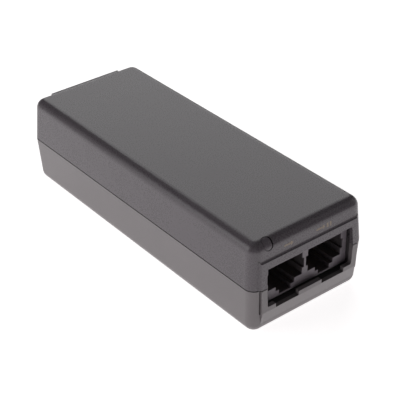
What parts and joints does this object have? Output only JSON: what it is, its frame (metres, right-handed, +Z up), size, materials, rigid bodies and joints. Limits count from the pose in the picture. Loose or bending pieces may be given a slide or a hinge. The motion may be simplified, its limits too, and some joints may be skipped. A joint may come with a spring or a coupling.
{
  "type": "poe injector",
  "caption": "Free-standing mains PoE injector: drafted two-shell case with a dual RJ45 jack in a raised frame at one end and a cloverleaf mains inlet at the other.",
  "frame": {"origin": "on the surface the case stands on, under the middle of the whole part", "axes": "+Z up; +Y along the case from the port end towards the mains inlet; +X across, so the status light is at -X"},
  "size_m": [0.04, 0.107, 0.028],
  "materials": {
    "case_plastic": "fine-textured satin dark grey moulded plastic",
    "light_pipe_plastic": "smoky tinted smooth moulded plastic",
    "label_film": "blank satin silver-grey polyester film",
    "jack_plastic": "smooth black moulded plastic",
    "inlet_plastic": "smooth black moulded plastic",
    "gold_plate": "gold-plated spring wire",
    "pin_nickel": "nickel-plated brass",
    "board_laminate": "green solder mask on laminate",
    "sheet_film": "translucent film",
    "component_black": "black moulding compound",
    "component_blue": "blue dipped coating",
    "component_yellow": "yellow moulded box and tape",
    "component_green": "dark green dipped coating",
    "can_sleeve": "dark sleeve on an aluminium can",
    "ferrite": "dull dark ferrite",
    "copper_wire": "enamelled copper wire",
    "sheet_aluminium": "plain sheet aluminium",
    "screw_steel": "zinc-plated steel",
    "led_epoxy": "tinted clear epoxy"
  },
  "bodies": {
    "root": {"top_shell": "case_plastic", "bottom_shell": "case_plastic", "light_pipe": "light_pipe_plastic", "rating_label": "label_film", "jack_housing": "jack_plastic", "data_port_contacts": "gold_plate", "power_port_contacts": "gold_plate", "data_port_carrier": "jack_plastic", "power_port_carrier": "jack_plastic", "inlet_housing": "inlet_plastic", "live_pin": "pin_nickel", "neutral_pin": "pin_nickel", "earth_pin": "pin_nickel", "circuit_board": "board_laminate", "insulation_sheet": "sheet_film", "fuse": "component_black", "varistor": "component_blue", "inrush_thermistor": "component_green", "suppression_capacitor": "component_yellow", "choke_core": "component_green", "choke_windings": "copper_wire", "bridge_rectifier": "component_black", "bulk_capacitor": "can_sleeve", "switching_transistor": "component_black", "primary_heatsink": "sheet_aluminium", "heatsink_screws": "screw_steel", "transformer_core": "ferrite", "transformer_bobbin": "component_black", "transformer_winding": "component_yellow", "safety_capacitor": "component_blue", "optocoupler": "component_black", "output_rectifier": "component_black", "secondary_heatsink": "sheet_aluminium", "output_capacitors": "can_sleeve", "output_inductor": "ferrite", "data_transformer": "component_black", "power_controller": "component_black", "surge_suppressors": "component_black", "status_led": "led_epoxy"}
  },
  "joints": []
}
